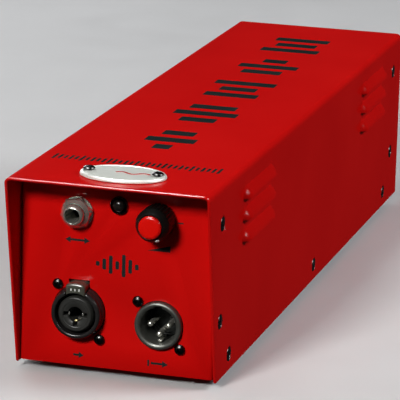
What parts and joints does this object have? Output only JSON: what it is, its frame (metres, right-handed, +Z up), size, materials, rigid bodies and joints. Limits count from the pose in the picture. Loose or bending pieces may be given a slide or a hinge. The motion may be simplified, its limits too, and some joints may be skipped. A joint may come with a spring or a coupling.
{
  "type": "direct injection box",
  "caption": "Valve direct injection box in a folded steel case with a hooded front: thru jack, level knob, locking combination input, balanced output and a mains inlet at the rear.",
  "frame": {"origin": "on the floor under the middle of the case", "axes": "+Z up, -Y out of the front panel, +X to the right as seen from the front"},
  "size_m": [0.0966, 0.3674, 0.0927],
  "materials": {
    "red_paint": "satin gloss powder coat",
    "black_oxide": "black oxide",
    "black_rubber": "moulded",
    "silver_plate": "brushed, bright edge",
    "chrome": "polished",
    "gunmetal": "dark chromium",
    "black_plastic": "moulded",
    "dark_lens": "polished",
    "red_plastic": "satin gloss",
    "grey_plastic": "moulded",
    "zinc_plate": "zinc plated",
    "brass": "turned",
    "board_green": "solder resist",
    "valve_glass": "clear",
    "ceramic": "glazed",
    "core_steel": "lacquered laminations",
    "winding_tape": "polyester tape",
    "capacitor_blue": "sleeved"
  },
  "bodies": {
    "case": {"badge_plate": "silver_plate", "badge_screw_left": "black_oxide", "badge_screw_right": "black_oxide", "base_tray": "red_paint", "circuit_board": "board_green", "combo_insert": "black_plastic", "combo_screw_lower": "black_oxide", "combo_screw_upper": "black_oxide", "combo_shell": "gunmetal", "cover_screw_left_bottom_front": "black_oxide", "cover_screw_left_bottom_middle": "black_oxide", "cover_screw_left_bottom_rear": "black_oxide", "cover_screw_left_front_lower": "black_oxide", "cover_screw_left_front_upper": "black_oxide", "cover_screw_left_rear_lower": "black_oxide", "cover_screw_left_rear_upper": "black_oxide", "cover_screw_right_bottom_front": "black_oxide", "cover_screw_right_bottom_middle": "black_oxide", "cover_screw_right_bottom_rear": "black_oxide", "cover_screw_right_front_lower": "black_oxide", "cover_screw_right_front_upper": "black_oxide", "cover_screw_right_rear_lower": "black_oxide", "cover_screw_right_rear_upper": "black_oxide", "cover_shell": "red_paint", "filter_capacitor": "capacitor_blue", "foot_front_left": "black_rubber", "foot_front_right": "black_rubber", "foot_rear_left": "black_rubber", "foot_rear_right": "black_rubber", "front_panel": "red_paint", "ground_lift_body": "chrome", "indicator_bezel": "black_oxide", "indicator_lens": "dark_lens", "level_pot_body": "zinc_plate", "level_pot_nut": "zinc_plate", "output_transformer": "core_steel", "power_inlet": "black_plastic", "power_switch_frame": "black_plastic", "power_transformer_core": "core_steel", "power_transformer_winding": "winding_tape", "rear_panel": "red_paint", "thru_jack_body": "black_plastic", "thru_jack_bushing": "chrome", "thru_jack_nut": "chrome", "vacuum_valve": "valve_glass", "valve_socket": "ceramic", "xlr_insert": "black_plastic", "xlr_pin_1": "chrome", "xlr_pin_2": "chrome", "xlr_pin_3": "chrome", "xlr_screw_lower": "black_oxide", "xlr_screw_upper": "black_oxide", "xlr_shell": "gunmetal"},
    "level_control": {"level_knob": "black_plastic", "level_knob_cap": "red_plastic", "level_pot_shaft": "brass"},
    "input_latch": {"combo_latch": "grey_plastic"},
    "power_rocker": {"power_switch_rocker": "black_plastic"},
    "ground_lift_toggle": {"ground_lift_lever": "chrome"},
    "fuse_holder": {"fuse_drawer": "black_plastic"}
  },
  "joints": [
    {"name": "level_turn", "type": "hinge", "parent": "case", "child": "level_control", "pos_m": [0.0184, -0.1657, 0.0726], "axis": [0, 1, 0], "range_deg": [-300, 0]},
    {"name": "latch_press", "type": "slide", "parent": "case", "child": "input_latch", "axis": [0, 1, 0], "range_m": [0, 0.0018], "stiffness_N_per_m": 300},
    {"name": "power_rock", "type": "hinge", "parent": "case", "child": "power_rocker", "pos_m": [-0.021, 0.1707, 0.033], "axis": [1, 0, 0], "range_deg": [-22, 0]},
    {"name": "ground_lift_flip", "type": "hinge", "parent": "case", "child": "ground_lift_toggle", "pos_m": [-0.021, 0.1727, 0.064], "axis": [1, 0, 0], "range_deg": [0, 20]},
    {"name": "fuse_drawer_slide", "type": "slide", "parent": "case", "child": "fuse_holder", "axis": [0, 1, 0], "range_m": [0, 0.018]}
  ]
}
